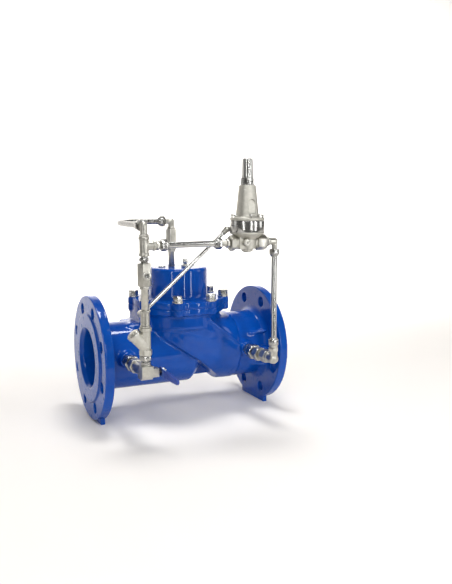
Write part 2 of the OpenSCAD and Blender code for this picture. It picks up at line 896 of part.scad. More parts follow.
module outlet_elbow() {
  arm = circuit_out - 80 - 33;
  color(steel) at_valve() difference() {
    union() {
      translate([drop_x, front, branch_z - 1]) {
        sphere(r = 8.8);
        cylinder(r = 7.2, h = 25);
        translate([0, 0, 14]) hexagon(16, 6);
        back() cylinder(r = 8.5, h = 18);
        translate([0, 12, 0]) back() cylinder(r = 9.8, h = 4);
        translate([0, 17, 0]) back() hexagon(21, 16);
        translate([0, 33 - eps, 0]) back() cylinder(r = 8.6, h = arm - 46);
      }
      translate([drop_x - 4, front + arm - 14, branch_z - 1]) back() hexagon(22, 14);
    }
    translate([drop_x, front, branch_z - 1]) cylinder(r = 3, h = 30);
    translate([drop_x, front, branch_z - 1]) back() cylinder(r = 3, h = arm - 13);
    translate([drop_x - 4, front + arm - 14, branch_z - 1]) back() cylinder(r = 3, h = 30);
  }
}

// ---- Pilot --------------------------------------------------------------------------------

ring_low = port_z + 18;
ring_high = ring_low + 18;
bonnet_low = ring_high + 1;
cone_high = 301.3;
lock_nut_t = 11.5;
module at_pilot(z) at_point([pilot_x, front, z]) children();

module around_pilot() {
  for (i = [0 : 5]) rotate([0, 0, 15 + i * 60]) translate([26.5, 0, 0]) children();
}

module pilot_body() {
  color(steel) at_pilot(port_z) difference() {
    union() {
      translate([0, 0, -10]) cylinder(r = 15, h = 24);
      translate([0, 0, 7]) cylinder(r1 = 17, r2 = ring_d / 2 - 1.5, h = 8);
      translate([0, 0, 15 - eps]) cylinder(r = ring_d / 2, h = 3);
      translate([0, 0, -14]) cylinder(r = 9.8, h = 8);
      translate([-19, -11, -10]) cube([14, 22, 20]);
      left() cylinder(r = 10, h = 24);
      translate([-24, 0, 0]) left() hexagon(23, 9);
      right() cylinder(r = 9.5, h = 18);
      translate([-9, 0, 1]) forward() cylinder(r = 5.6, h = 18);
    }
    translate([16, 0, 0]) right() cylinder(r = 13.6, h = 20);
    translate([0, 0, 8]) cylinder(r = 5, h = 20);
    translate([0, 0, 13.8]) cylinder(r = 22, h = 20);
    translate([0, 0, -9]) cylinder(r = 7, h = 12);
    translate([0, 0, -15]) cylinder(r = 5, h = 20);
    cylinder(r = 3, h = 10);
    translate([-10, 0, 0]) left() cylinder(r = 3.5, h = 40);
    translate([-11, 0, -7]) cylinder(r = 2.5, h = 8);
    translate([0, 0, -6]) left() cylinder(r = 2, h = 12);
    translate([0, 0, 5.5]) right() cylinder(r = 2, h = 12);
    translate([10, 0, 0]) right() cylinder(r = 3.5, h = 40);
    translate([11, 0, 0]) cylinder(r = 2, h = 6);
    translate([-9, 0, 1]) forward() cylinder(r = 2, h = 30);
  }
}

module pilot_plugs() {
  color(steel) {
    at_pilot(port_z - 14) {
      cylinder(r = 5 - run_fit, h = 4);
      translate([0, 0, -2]) hexagon(13, 2 + eps);
    }
    at_pilot(port_z + 1) translate([-9, -18, 0]) forward() difference() {
      cylinder(r = 4.6, h = 1.6);
      translate([0, 0, 0.8]) cylinder(r = 2, h = 2, $fn = 6);
    }
  }
}

module pilot_seat() {
  color(bright) at_pilot(port_z - 3.5) tube(7, 3.2, 6.5);
}

module pilot_stem() {
  color(bright) at_pilot(port_z - 8.5) {
    cylinder(r = 4.8, h = 2.6);
    translate([0, 0, 2.6 - eps]) cylinder(r = 2, h = 46);
  }
}

module pilot_plate() {
  color(steel) at_pilot(ring_high - 5) tube(19, 2, 4.5);
}

module pilot_ring() {
  color(bright) at_pilot(ring_low) difference() {
    cylinder(d = ring_d, h = 18);
    translate([0, 0, -1]) cylinder(r = 22.5, h = 20);
    around_pilot() translate([0, 0, -1]) cylinder(r = 1.6, h = 20);
  }
}

module pilot_diaphragm() {
  color(rubber) at_pilot(ring_high - 0.4) difference() {
    union() {
      cylinder(r = 22.4, h = 1.4);
      translate([0, 0, 0.4]) cylinder(r = 24, h = 1);
    }
    translate([0, 0, -1]) cylinder(r = 2, h = 4);
  }
}

module pilot_bonnet() {
  inside_top = 298;
  color(steel) at_pilot(0) difference() {
    union() {
      translate([0, 0, bonnet_low]) cylinder(d = ring_d, h = 4);
      around_pilot() translate([0, 0, bonnet_low]) cylinder(r = 3.8, h = 7);
      translate([0, 0, bonnet_low + 4 - eps])
        cylinder(d1 = cone_foot_d + 3, d2 = cone_foot_d, h = 3);
      translate([0, 0, bonnet_low + 7 - 2 * eps])
        cylinder(d1 = cone_foot_d, d2 = cone_top_d, h = cone_high - bonnet_low - 7);
    }
    translate([0, 0, bonnet_low - 1]) cylinder(r1 = 15.5, r2 = 11, h = inside_top - bonnet_low + 1);
    translate([0, 0, bonnet_low]) cylinder(r = 4 + run_fit, h = 90);
    around_pilot() translate([0, 0, bonnet_low - 1]) cylinder(r = 1.6, h = 20);
    translate([0, 0, bonnet_low - 1]) cylinder(r = 20, h = 2.4);
  }
}

module pilot_screws() {
  color(bright) at_pilot(0) around_pilot() {
    translate([0, 0, ring_low + 1]) cylinder(r = 1.55, h = bonnet_low + 7 - ring_low);
    translate([0, 0, bonnet_low + 7]) difference() {
      cylinder(r = 2.9, h = 3);
      translate([0, 0, 1.4]) cylinder(r = 1.4, h = 2, $fn = 6);
    }
  }
}

button_z = 284;
module pilot_spring() {
  color(steel) at_pilot(0) coil(8.2, 1.5, ring_high + 1.5, button_z, 6);
}

module spring_button() {
  color(steel) at_pilot(button_z) cylinder(r = 9.6, h = 5);
}

module adjusting_screw() {
  color(bright) at_pilot(button_z + 5) difference() {
    union() {
      cylinder(r1 = 3, r2 = 4, h = 1.2);
      translate([0, 0, 1.2 - eps]) cylinder(r = 4, h = 44);
    }
    translate([-5, -0.7, 42.5]) cube([10, 1.4, 5]);
  }
}

module pilot_lock_nut() {
  color(steel) at_pilot(cone_high + 0.3) difference() {
    union() {
      hexagon(21, lock_nut_t);
      cylinder(r = 11, h = 3);
    }
    translate([0, 0, -1]) cylinder(r = 4 + run_fit, h = 20);
  }
}

cap_l = 31;
module pilot_cap() {
  color(bright) at_pilot(cone_high + lock_nut_t + 0.6) difference() {
    union() {
      cylinder(r = 9.6, h = 2);
      translate([0, 0, 2 - eps]) cylinder(r1 = 9.3, r2 = 8.7, h = cap_l - 3);
      translate([0, 0, cap_l - 1 - 2 * eps]) cylinder(r1 = 8.7, r2 = 7.9, h = 1);
    }
    translate([0, 0, -1]) cylinder(r = 6, h = cap_l - 1.5);
  }
}

valve_body();
inlet_end();
outlet_end();
cover();
cover_bolts();
cover_washers();
dome_plugs();
seat_ring();
seat_o_ring();
stem_bush();
main_stem();
disc_retainer();
valve_disc();
disc_holder();
lower_diaphragm_plate();
main_diaphragm();
upper_diaphragm_plate();
stem_nut();
main_spring();
branch_nipples();
branch_unions();
inlet_valve_body();
inlet_valve_ball();
inlet_lever();
lever_nut();
riser_nipples();
strainer_body();
strainer_screen();
strainer_cap();
sensing_tee();
riser_pipe();
isolation_body();
isolation_ball();
supply_tee();
tube_elbows();
tube_adapters();
supply_tube();
dome_tube();
compression_nuts();
regulator_body();
regulator_plug();
dome_pipe_stub();
sensing_tube();
sensing_fittings();
outlet_tube();
outlet_elbow();
pilot_body();
pilot_plugs();
pilot_seat();
pilot_stem();
pilot_ring();
pilot_diaphragm();
pilot_plate();
pilot_spring();
spring_button();
adjusting_screw();
pilot_bonnet();
pilot_screws();
pilot_lock_nut();
pilot_cap();
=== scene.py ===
"""Looks of a pilot-operated pressure reducing valve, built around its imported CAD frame.

Lengths inside the shape functions are in millimetres around the middle of the valve: +X is the
flow direction, +Z is up, and the pilot circuit is on the -Y side. place() turns them into the
frame's metres.
"""

import json
import math

import bmesh
import bpy
from mathutils import Matrix, Vector


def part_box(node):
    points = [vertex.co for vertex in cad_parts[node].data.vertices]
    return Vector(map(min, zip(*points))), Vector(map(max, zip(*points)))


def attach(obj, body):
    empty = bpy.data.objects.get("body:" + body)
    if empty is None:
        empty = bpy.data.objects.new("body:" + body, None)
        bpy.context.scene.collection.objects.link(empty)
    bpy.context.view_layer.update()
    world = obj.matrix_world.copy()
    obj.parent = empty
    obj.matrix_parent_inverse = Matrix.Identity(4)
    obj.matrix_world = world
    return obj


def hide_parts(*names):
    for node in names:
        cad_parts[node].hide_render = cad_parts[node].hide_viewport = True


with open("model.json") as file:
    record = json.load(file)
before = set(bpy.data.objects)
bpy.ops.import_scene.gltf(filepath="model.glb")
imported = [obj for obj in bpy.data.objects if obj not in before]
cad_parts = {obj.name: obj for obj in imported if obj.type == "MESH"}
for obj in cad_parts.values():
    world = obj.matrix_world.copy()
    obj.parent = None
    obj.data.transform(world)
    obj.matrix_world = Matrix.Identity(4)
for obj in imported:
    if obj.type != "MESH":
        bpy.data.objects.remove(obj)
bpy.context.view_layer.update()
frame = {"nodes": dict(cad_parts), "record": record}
scene = bpy.context.scene

MM = 0.001
INLET_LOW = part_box("inlet_end")[0]
OUTLET_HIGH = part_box("outlet_end")[1]
HALF_LENGTH = (OUTLET_HIGH.x - INLET_LOW.x) / 2 / MM
MIDDLE_X = (OUTLET_HIGH.x + INLET_LOW.x) / 2 / MM
FLANGE_R = OUTLET_HIGH.z / MM
FLANGE_T = 19
RAISED_T = 3
RAISED_R = 79
BORE_R = 50
BOLT_CIRCLE_R = 90
BOLT_HOLE_R = 9.5
JOINT_Z = 87
COVER_FACE = 99
DOME_TOP = 155
PILOT_X = 58
RISER_X = -122
DROP_X = 110
FRONT = -165
BRANCH_Z = 5

# ---- Mesh tools ---------------------------------------------------------------------------


def new_object(name, mesh):
    """A new object in the scene that shows mesh."""
    obj = bpy.data.objects.new(name, mesh)
    scene.collection.objects.link(obj)
    return obj


def from_bmesh(name, bm):
    """A new object from bm, with its faces turned outwards. bm is used up."""
    mesh = bpy.data.meshes.new(name)
    bmesh.ops.recalc_face_normals(bm, faces=bm.faces)
    bm.to_mesh(mesh)
    bm.free()
    return new_object(name, mesh)


def around(radius, height, matrix, steps):
    """Points of one turn about Z."""
    points = []
    for i in range(steps):
        a = 2 * math.pi * i / steps
        points.append(matrix @ Vector((radius * math.cos(a), radius * math.sin(a), height)))
    return points


def add_lathe(bm, profile, matrix=Matrix(), steps=96):
    """A closed solid of revolution about Z: profile is (radius, height) pairs, axis to axis."""
    rings = []
    for radius, height in profile:
        points = [matrix @ Vector((0, 0, height))]
        if radius:
            points = around(radius, height, matrix, steps)
        rings.append([bm.verts.new(point) for point in points])
    for low, high in zip(rings, rings[1:]):
        for i in range(steps):
            j = (i + 1) % steps
            near, far = [low[k % len(low)] for k in (i, j)], [high[k % len(high)] for k in (j, i)]
            face = list(dict.fromkeys(near + far))
            if len(face) > 2:
                bm.faces.new(face)


def add_ring(bm, profile, steps):
    """A closed ring of revolution: profile is a closed outline of (radius, height) pairs."""
    rings = []
    for radius, height in profile:
        points = around(radius, height, Matrix(), steps)
        rings.append([bm.verts.new(point) for point in points])
    for low, high in zip(rings, rings[1:] + rings[:1]):
        for i in range(steps):
            j = (i + 1) % steps
            bm.faces.new([low[i], low[j], high[j], high[i]])


def add_rod(bm, radius, low, high, matrix=Matrix(), steps=64):
    """A cylinder along Z from low to high."""
    add_lathe(bm, [(0, low), (radius, low), (radius, high), (0, high)], matrix, steps)


def add_block(bm, low, high, matrix=Matrix()):
    """A block between two corners."""
    size = Vector(high) - Vector(low)
    middle = (Vector(high) + Vector(low)) / 2
    local = Matrix.Translation(middle) @ Matrix.Diagonal(size.to_4d())
    bmesh.ops.create_cube(bm, size=1, matrix=matrix @ local)


def add_prism(bm, outline, low, high, matrix=Matrix()):
    """An outline in X and Z, carried along Y from low to high."""
    near = [bm.verts.new(matrix @ Vector((x, low, z))) for x, z in outline]
    far = [bm.verts.new(matrix @ Vector((x, high, z))) for x, z in outline]
    bm.faces.new(near)
    bm.faces.new(far[::-1])
    for i in range(len(outline)):
        j = (i + 1) % len(outline)
        bm.faces.new([near[j], near[i], far[i], far[j]])


def add_hull(bm, points, matrix=Matrix()):
    """The convex hull of points."""
    verts = [bm.verts.new(matrix @ Vector(p)) for p in points]
    out = bmesh.ops.convex_hull(bm, input=verts)
    spare = set(out["geom_interior"] + out["geom_unused"])
    loose = [v for v in spare if isinstance(v, bmesh.types.BMVert)]
    bmesh.ops.delete(bm, geom=loose, context="VERTS")


def circle(radius, centre, axis, steps=64):
    """Points round a circle whose axis is X, Y or Z."""
    points = []
    for i in range(steps):
        a = 2 * math.pi * i / steps
        c, s = radius * math.cos(a), radius * math.sin(a)
        offset = {"X": (0, c, s), "Y": (c, 0, s), "Z": (c, s, 0)}[axis]
        points.append(Vector(centre) + Vector(offset))
    return points


def arc(radius, x, y, start, end, step=15):
    """Points round an arc in a profile's plane, from start to end in degrees."""
    angles = [math.radians(a) for a in range(start, end + 1, step)]
    return [(x + radius * math.cos(a), y + radius * math.sin(a)) for a in angles]


def both(low, high, *sections):
    """Points of a solid symmetric about Y = 0: sections are (X, half width) pairs."""
    return [(x, y, z) for x, half in sections for y in (-half, half) for z in (low, high)]


def turned(axis, angle=90):
    """A turn about the X, Y or Z axis, in degrees."""
    return Matrix.Rotation(math.radians(angle), 4, axis)


def moved(x, y, z):
    """A move, in millimetres."""
    return Matrix.Translation((x, y, z))


ALONG_X = turned("Y")
ALONG_MINUS_X = turned("Y", -90)
ALONG_MINUS_Y = turned("X")


def apply_modifiers(obj):
    """Bakes an object's modifiers into its mesh."""
    depsgraph = bpy.context.evaluated_depsgraph_get()
    mesh = bpy.data.meshes.new_from_object(obj.evaluated_get(depsgraph))
    obj.modifiers.clear()
    old = obj.data
    obj.data = mesh
    bpy.data.meshes.remove(old)


def cut(obj, other, operation="DIFFERENCE", overlaps=False):
    """Cuts, joins or intersects obj with other, which is used up."""
    step = obj.modifiers.new("cut", "BOOLEAN")
    step.operation = operation
    step.solver = "EXACT"
    step.use_self = overlaps
    step.object = other
    apply_modifiers(obj)
    bpy.data.objects.remove(other)


def cast(obj, voxel, rounds):
    """Melts overlapping shapes into one skin of voxel-sized faces, then smooths it."""
    melt = obj.modifiers.new("melt", "REMESH")
    melt.mode = "VOXEL"
    melt.voxel_size = voxel
    melt.use_smooth_shade = True
    soften = obj.modifiers.new("soften", "SMOOTH")
    soften.factor = 0.5
    soften.iterations = rounds
    apply_modifiers(obj)


def round_edges(obj, width, sharp, segments):
    """Rounds the edges sharper than that many degrees, and shades the rest smooth."""
    edge = obj.modifiers.new("edge", "BEVEL")
    edge.width = width
    edge.segments = segments
    edge.limit_method = "ANGLE"
    edge.angle_limit = math.radians(sharp)
    edge.use_clamp_overlap = True
    edge.miter_outer = "MITER_ARC"
    apply_modifiers(obj)
    shade(obj, sharp)


def shade(obj, sharp):
    """Smooth shading, but for edges sharper than that many degrees."""
    for face in obj.data.polygons:
        face.use_smooth = True
    obj.data.set_sharp_from_angle(angle=math.radians(sharp))


def place(obj):
    """From millimetres round the valve's middle to the frame's metres."""
    obj.data.transform(Matrix.Diagonal((MM, MM, MM, 1)) @ moved(MIDDLE_X, 0, 0))


WELD_GAP = 0.002
FLAT_ANGLE = math.radians(0.6)


def cad_copy(node, name):
    """A welded copy of a CAD node, in millimetres, with its flat faces whole again."""
    obj = new_object(name, frame["nodes"][node].data.copy())
    obj.data.transform(moved(-MIDDLE_X, 0, 0) @ Matrix.Diagonal((1 / MM, 1 / MM, 1 / MM, 1)))
    bm = bmesh.new()
    bm.from_mesh(obj.data)
    bmesh.ops.remove_doubles(bm, verts=bm.verts, dist=WELD_GAP)
    bmesh.ops.dissolve_limit(bm, angle_limit=FLAT_ANGLE, verts=bm.verts, edges=bm.edges)
    bm.to_mesh(obj.data)
    bm.free()
    obj.data.materials.clear()
    return obj


# ---- Materials ----------------------------------------------------------------------------


class Surface:
    """A node-based material: a Principled shader with the nodes that drive it."""

    def __init__(self, name):
        self.material = bpy.data.materials.new(name)
        self.material.use_nodes = True
        self.nodes = self.material.node_tree.nodes
        self.links = self.material.node_tree.links
        self.shader = self.nodes["Principled BSDF"]
        self.place = self.add("ShaderNodeTexCoord").outputs["Object"]

    def add(self, kind, **values):
        """A new shader node of this kind, with these properties."""
        node = self.nodes.new(kind)
        for key, value in values.items():
            setattr(node, key, value)
        return node

    def set(self, **values):
        """Plain values for the shader's inputs, with _ for each space in their names."""
        for key, value in values.items():
            self.shader.inputs[key.replace("_", " ")].default_value = value

    def stretched(self, scale):
        """Object coordinates stretched along the axes."""
        node = self.add("ShaderNodeMapping")
        node.inputs["Scale"].default_value = scale
        self.links.new(self.place, node.inputs["Vector"])
        return node.outputs["Vector"]

    def noise(self, scale, detail, rough, stretch=None):
        """Noise in object space, 0 to 1."""
        node = self.add("ShaderNodeTexNoise")
        node.inputs["Scale"].default_value = scale
        node.inputs["Detail"].default_value = detail
        node.inputs["Roughness"].default_value = rough
        self.links.new(self.stretched(stretch) if stretch else self.place, node.inputs["Vector"])
        return node.outputs["Fac"]

    def tones(self, value, dark, light):
        """A colour between dark and light, which a noise's middle range spans."""
        node = self.add("ShaderNodeValToRGB")
        stops = ((0.3, dark), (0.7, light))
        for element, (position, colour) in zip(node.color_ramp.elements, stops):
            element.position = position
            element.color = (*colour, 1)
        self.links.new(value, node.inputs["Fac"])
        return node.outputs["Color"]

    def span(self, value, low, high, start=0.0, end=1.0):
        """value from start..end, carried to low..high."""
        node = self.add("ShaderNodeMapRange")
        limits = {"From Min": start, "From Max": end, "To Min": low, "To Max": high}
        for key, number in limits.items():
            node.inputs[key].default_value = number
        self.links.new(value, node.inputs["Value"])
        return node.outputs["Result"]

    def mix(self, factor, first, second):
        """Two colours blended by factor; either may be a plain colour."""
        node = self.add("ShaderNodeMix", data_type="RGBA")
        self.links.new(factor, node.inputs["Factor"])
        for socket, colour in ((node.inputs[6], first), (node.inputs[7], second)):
            if isinstance(colour, tuple):
                socket.default_value = (*colour, 1)
            else:
                self.links.new(colour, socket)
        return node.outputs[2]

    def edges(self, start=0.52, end=0.6):
        """1 on outer edges, 0 elsewhere: painted highlight on the blue coats, a lighter colour on
        bare metal.
        """
        pointiness = self.add("ShaderNodeNewGeometry").outputs["Pointiness"]
        return self.span(pointiness, 0, 1, start, end)

    def creases(self, start=0.49, end=0.42):
        """1 in inner corners, where painted shade goes."""
        pointiness = self.add("ShaderNodeNewGeometry").outputs["Pointiness"]
        return self.span(pointiness, 0, 1, start, end)

    def colour(self, value):
        """Drives the base colour."""
        self.links.new(value, self.shader.inputs["Base Color"])

    def roughness(self, value):
        """Drives the roughness."""
        self.links.new(value, self.shader.inputs["Roughness"])

    def bumps(self, *layers):
        """Bump layers of (value, strength, distance), each on top of the last."""
        normal = None
        for value, strength, distance in layers:
            node = self.add("ShaderNodeBump")
            node.inputs["Strength"].default_value = strength
            node.inputs["Distance"].default_value = distance
            self.links.new(value, node.inputs["Height"])
            if normal:
                self.links.new(normal, node.inputs["Normal"])
            normal = node.outputs["Normal"]
        self.links.new(normal, self.shader.inputs["Normal"])


def blue_epoxy():
    """Fusion-bonded epoxy: a thick gloss coat over a sand casting, with an orange-peel skin."""
    s = Surface("blue_epoxy")
    s.set(Metallic=0.0, Coat_Weight=0.6, Coat_Roughness=0.035, Specular_IOR_Level=0.03)
    tone = s.tones(s.noise(26, 4, 0.6), (0.001, 0.056, 0.330), (0.002, 0.072, 0.390))
    # Painted shade: the coat is darkened towards a deep blue in inner corners.
    painted_corner_shade = s.mix(s.creases(0.48, 0.38), tone, (0.003, 0.022, 0.15))
    # Painted highlight: the coat is lightened to a brighter blue on outer edges.
    s.colour(s.mix(s.edges(0.62, 0.80), painted_corner_shade, (0.02, 0.12, 0.46)))
    s.roughness(s.span(s.noise(90, 4, 0.6), 0.24, 0.38, 0.3, 0.7))
    s.bumps(
        (s.noise(60, 3, 0.5), 0.28, 0.0016),
        (s.noise(230, 2, 0.5), 0.16, 0.0008),
    )
    return s.material


def steel(name, dark, light, rough, grain, edge=(0.80, 0.79, 0.76)):
    """Bare cast or forged metal, with painted shade in its corners and a lighter colour on its
    edges.
    """
    s = Surface(name)
    s.set(Metallic=1.0)
    tone = s.tones(s.noise(140, 4, 0.6), dark, light)
    # Painted shade: darker metal in inner corners.
    corner_shade_tone = s.mix(s.creases(), tone, tuple(0.45 * c for c in dark))
    s.colour(s.mix(s.edges(), corner_shade_tone, edge))
    s.roughness(s.span(s.noise(300, 3, 0.6), rough[0], rough[1], 0.3, 0.7))
    s.bumps((s.noise(900, 3, 0.6), grain, 0.00035), (s.noise(160, 3, 0.5), grain, 0.0006))
    return s.material


def turned_steel(name, dark, light, rough, grain):
    """Turned or drawn bright steel, with fine lines across the Z axis."""
    s = Surface(name)
    s.set(Metallic=1.0, Anisotropic=0.35)
    lines = s.noise(1400, 2, 0.5, stretch=(0.25, 0.25, 4.0))
    s.colour(s.tones(s.noise(110, 3, 0.5), dark, light))
    s.roughness(s.span(s.noise(220, 3, 0.5), rough[0], rough[1], 0.3, 0.7))
    s.bumps((lines, grain, 0.0002))
    return s.material


def rubber():
    """Matt black moulded rubber."""
    s = Surface("rubber_black")
    s.set(Metallic=0.0, Specular_IOR_Level=0.35)
    s.colour(s.tones(s.noise(180, 4, 0.6), (0.012, 0.012, 0.013), (0.03, 0.03, 0.031)))
    s.roughness(s.span(s.noise(400, 3, 0.6), 0.55, 0.8, 0.3, 0.7))
    s.bumps((s.noise(1200, 3, 0.6), 0.25, 0.0003))
    return s.material


def lever_grip():
    """The lever's blue dipped grip, slightly glossy, with a painted highlight of lighter blue on its
    edges.
    """
    s = Surface("lever_grip")
    s.set(Metallic=0.0, Coat_Weight=0.2, Coat_Roughness=0.25)
    tone = s.tones(s.noise(120, 4, 0.6), (0.006, 0.035, 0.26), (0.012, 0.055, 0.33))
    # Painted highlight: lighter blue on outer edges.
    s.colour(s.mix(s.edges(0.54, 0.64), tone, (0.05, 0.15, 0.48)))
    s.roughness(s.span(s.noise(300, 3, 0.6), 0.32, 0.5, 0.3, 0.7))
    s.bumps((s.noise(700, 3, 0.6), 0.2, 0.0003))
    return s.material


# Bare metals: dark tone, light tone, roughness span, strength of the grain, lighter edge colour.
METALS = {
    "cast_stainless": (steel, (0.43, 0.421, 0.38), (0.57, 0.558, 0.505), (0.27, 0.38), 0.03),
    "machined_stainless": (turned_steel, (0.42, 0.42, 0.40), (0.55, 0.55, 0.53), (0.18, 0.28), 0.04),
    "polished_stainless": (turned_steel, (0.46, 0.46, 0.445), (0.54, 0.54, 0.52), (0.15, 0.22), 0.0),
    "fastener_steel": (steel, (0.42, 0.42, 0.40), (0.58, 0.58, 0.55), (0.20, 0.34), 0.04),
    "spring_steel": (steel, (0.22, 0.22, 0.22), (0.34, 0.34, 0.33), (0.3, 0.45), 0.2),
    "bronze": (steel, (0.42, 0.24, 0.08), (0.58, 0.36, 0.15), (0.28, 0.42), 0.2, (0.75, 0.55, 0.3)),
    "nut_steel": (steel, (0.27, 0.27, 0.26), (0.38, 0.38, 0.365), (0.20, 0.30), 0.02),
    "blasted_steel": (steel, (0.50, 0.49, 0.44), (0.62, 0.605, 0.545), (0.44, 0.56), 0.05),
    # Painted shade: a darker copy of the polished tube steel, used for the dome tube.
    "dull_tube": (turned_steel, (0.30, 0.30, 0.29), (0.36, 0.36, 0.35), (0.24, 0.32), 0.0),
}
MATERIALS = {"blue_epoxy": blue_epoxy(), "rubber_black": rubber(), "lever_grip": lever_grip()}
for finish, (make, *values) in METALS.items():
    MATERIALS[finish] = make(finish, *values)

# Nodes that look a little different from the rest of their record slot.
LOOKS = {
    "compression_nuts": "nut_steel",
    "branch_unions": "nut_steel",
    "riser_nipples": "nut_steel",
    "pilot_lock_nut": "nut_steel",
    "pilot_bonnet": "blasted_steel",
    "pilot_body": "blasted_steel",
    "strainer_body": "blasted_steel",
    # Painted shade: the dome tube gets the darker copy of the tube steel.
    "dome_tube": "dull_tube",
}
SLOT_OF = {row["node"]: row["material_slot"] for row in frame["record"]["subparts"]}
BODIES = frame["record"]["behaviour"]["bodies"]
BODY_OF = {node: body for body, nodes in BODIES.items() for node in nodes}


def look_of(node):
    """The node's own material, or else its slot's."""
    return MATERIALS[LOOKS.get(node, SLOT_OF[node])]


def stand_for(obj, *nodes):
    """obj takes the place, body and finish of these CAD nodes."""
    place(obj)
    obj.data.materials.clear()
    obj.data.materials.append(look_of(nodes[0]))
    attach(obj, BODY_OF[nodes[0]])
    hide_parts(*nodes)


# ---- Main body ----------------------------------------------------------------------------

BARREL_R = 60
BOWL_R = 77
PLATE_R = 84.5
NECK_R = 62
TAPPING_R = 14
RIDGE_R = 2.4
RIB_ANGLES = (-62, -90, -118, 62, 90, 118)
FLANK_HALF = 71
WELL_FLOOR = 24
COVER_BOLTS = 8
COVER_BOLT_CIRCLE_R = 83
LOBE_R = 10.5
FLANGE_BOLTS = 8
HUB_FILLET = 13


def add_lobed_plate(bm, low, high):
    """The round joint plate of body and cover, with a lobe round each bolt."""
    add_rod(bm, PLATE_R, low, high, steps=128)
    for i in range(COVER_BOLTS):
        turn = turned("Z", (i + 0.5) * 360 / COVER_BOLTS)
        add_rod(bm, LOBE_R, low, high, turn @ moved(COVER_BOLT_CIRCLE_R, 0, 0), 32)
        add_hull(bm, both(low, high, (72, 13), (88, 10)), turn)


def side_walls():
    """The flat sides over the wall between inlet and outlet, with a round bottom."""
    bm = bmesh.new()
    upper = [(-66, 44), (-70, 76), (18, 76), (97, 11)]
    lower = [(97, -70), (72, -70), (58, -47), (17, -13)]
    add_prism(bm, upper + lower, -110, 110)
    walls = from_bmesh("side_walls", bm)
    bm = bmesh.new()
    round_bottom = arc(FLANK_HALF, 0, 9, -180, 0, 6)[::-1]
    section = [(FLANK_HALF, 80)] + round_bottom + [(-FLANK_HALF, 80)]
    add_prism(bm, section, -110, 80, turned("Z", 90))
    cut(walls, from_bmesh("walls_section", bm), "INTERSECT")
    bm = bmesh.new()
    add_rod(bm, BOWL_R - 3, -80, 90, steps=128)
    add_block(bm, (-18, -80, -80), (110, 80, 90))
    cut(walls, from_bmesh("walls_plan", bm), "INTERSECT", overlaps=True)
    return walls


def body_casting():
    """The globe body between the flanges, melted into one casting with its waterways cut."""
    bm = bmesh.new()
    end = HALF_LENGTH - FLANGE_T + 4
    barrel = [(0, -end), (BARREL_R, -end), (BARREL_R, 10), (44, 28), (0, 28)]
    add_lathe(bm, barrel, ALONG_X)
    add_rod(bm, NECK_R, 80, end, ALONG_X, 96)
    add_lathe(bm, [(0, 36), (58, 36), (BOWL_R, 50), (BOWL_R, 77), (0, 77)], steps=128)
    add_lobed_plate(bm, 75, JOINT_Z + 0.8)
    hood = circle(BOWL_R - 2, (0, 0, 57), "Z") + circle(BOWL_R - 2, (0, 0, 63), "Z")
    add_hull(bm, hood + circle(64, (80, 0, 1), "X") + circle(64, (97, 0, 1), "X"))
    shoulder = both(40, 50, (-116, 25)) + both(40, 60, (-105, 25)) + both(40, 61, (-65, 40))
    add_hull(bm, shoulder)
    add_block(bm, (-84, -36, 50), (-54, 36, 76))
    add_block(bm, (10, -6, -52), (62, 6, -22))
    for y in (-FLANK_HALF, FLANK_HALF):
        ridge = Vector((97, y, 11)) - Vector((18, y, 75))
        along = moved(18, y, 75) @ ridge.to_track_quat("Z", "Y").to_matrix().to_4x4()
        add_rod(bm, RIDGE_R, 0, ridge.length, along, 24)
    add_rod(bm, TAPPING_R, 0, 72, moved(RISER_X, 0, BRANCH_Z) @ ALONG_MINUS_Y)
    add_rod(bm, TAPPING_R, 0, 80, moved(DROP_X - 4, 0, BRANCH_Z - 1) @ ALONG_MINUS_Y)
    for angle in RIB_ANGLES:
        add_prism(bm, [(112, 60), (154, 60), (154, 72)], -3, 3, turned("X", angle))
    obj = from_bmesh("body_casting", bm)

    walls = side_walls()
    bm = bmesh.new()
    bm.from_mesh(obj.data)
    bm.from_mesh(walls.data)
    bpy.data.objects.remove(walls)
    bm.to_mesh(obj.data)
    bm.free()

    cast(obj, 1.9, 0)
    cut(obj, passages())
    cast(obj, 1.7, 4)
    stand_for(obj, "valve_body")
    return obj


def passages():
    """The waterways: inlet up to the seat, the well round the seat, and the outlet."""
    inlet = bmesh.new()
    add_rod(inlet, BORE_R, -HALF_LENGTH - 5, 50, ALONG_X, 96)
    inlet = from_bmesh("inlet_way", inlet)
    bm = bmesh.new()
    outline = [(-190, -60), (-190, 60), (-95, 60), (-76, 14), (36, 14), (30, -6), (4, -60)]
    add_prism(bm, outline, -70, 70)
    cut(inlet, from_bmesh("inlet_outline", bm), "INTERSECT")
    outlet = bmesh.new()
    add_rod(outlet, BORE_R, 20, HALF_LENGTH + 5, ALONG_X, 96)
    outlet = from_bmesh("outlet_way", outlet)
    bm = bmesh.new()
    low = WELL_FLOOR + 2
    outline = [(22, low), (42, low), (58, -2), (84, -60), (190, -60), (190, 60), (22, 60)]
    add_prism(bm, outline, -70, 70)
    cut(outlet, from_bmesh("outlet_outline", bm), "INTERSECT")
    cut(inlet, outlet, "UNION")
    bm = bmesh.new()
    seat_hole = [(0, -2), (40, -2), (40, WELL_FLOOR)]
    chamber = [(48, WELL_FLOOR), (48, 50), (68, 50), (68, JOINT_Z - 1.5)]
    recess = [(76.3, JOINT_Z - 1.5), (76.3, JOINT_Z + 6), (0, JOINT_Z + 6)]
    profile = seat_hole + chamber + recess
    add_lathe(bm, profile, steps=128)
    cut(inlet, from_bmesh("well", bm), "UNION")
    return inlet


